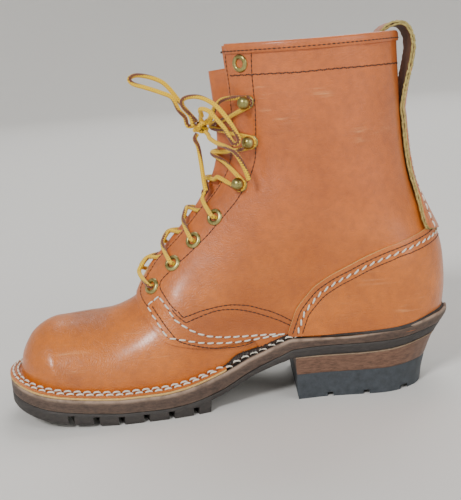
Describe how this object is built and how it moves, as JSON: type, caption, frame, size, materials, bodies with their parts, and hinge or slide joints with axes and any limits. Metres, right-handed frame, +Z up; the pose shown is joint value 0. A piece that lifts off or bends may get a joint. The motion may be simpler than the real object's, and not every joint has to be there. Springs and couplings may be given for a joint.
{
  "type": "work boot",
  "caption": "Lace-up leather work boot with a plain toe, pull loop, hooks and eyelets, stitched-down lugged sole and stacked heel.",
  "frame": {"origin": "on the floor under the middle of the sole's bounding box", "axes": "+X towards the toe along the boot's length, +Y towards the inner side of the foot, +Z up"},
  "size_m": [0.3077, 0.1146, 0.2472],
  "materials": {
    "orange_leather": "waxed, creased and scuffed",
    "strap_leather": "undyed, fibrous",
    "raw_edge": "raw cut edge",
    "midsole_leather": "burnished",
    "black_rubber": "matte, worn",
    "stacked_leather": "burnished lifts",
    "antique_brass": "antiqued, dull",
    "yellow_lace": "braided cord"
  },
  "bodies": {
    "root": {"upper": "orange_leather", "quarters": "orange_leather", "counter_cover": "orange_leather", "collar_binding": "orange_leather", "tongue": "orange_leather", "back_strap": "strap_leather", "insole": "strap_leather", "flange": "raw_edge", "midsole": "midsole_leather", "outsole": "black_rubber", "heel_cap": "black_rubber", "heel_stack": "stacked_leather", "eyelet_1_inner": "antique_brass", "eyelet_1_outer": "antique_brass", "eyelet_2_inner": "antique_brass", "eyelet_2_outer": "antique_brass", "eyelet_3_inner": "antique_brass", "eyelet_3_outer": "antique_brass", "eyelet_4_inner": "antique_brass", "eyelet_4_outer": "antique_brass", "eyelet_top_inner": "antique_brass", "eyelet_top_outer": "antique_brass", "hook_1_inner": "antique_brass", "hook_1_outer": "antique_brass", "hook_2_inner": "antique_brass", "hook_2_outer": "antique_brass", "hook_3_inner": "antique_brass", "hook_3_outer": "antique_brass", "lace_run": "yellow_lace", "lace_knot": "yellow_lace", "lace_loop_1": "yellow_lace", "lace_loop_2": "yellow_lace", "lace_end_1": "yellow_lace", "lace_end_2": "yellow_lace"}
  },
  "joints": []
}
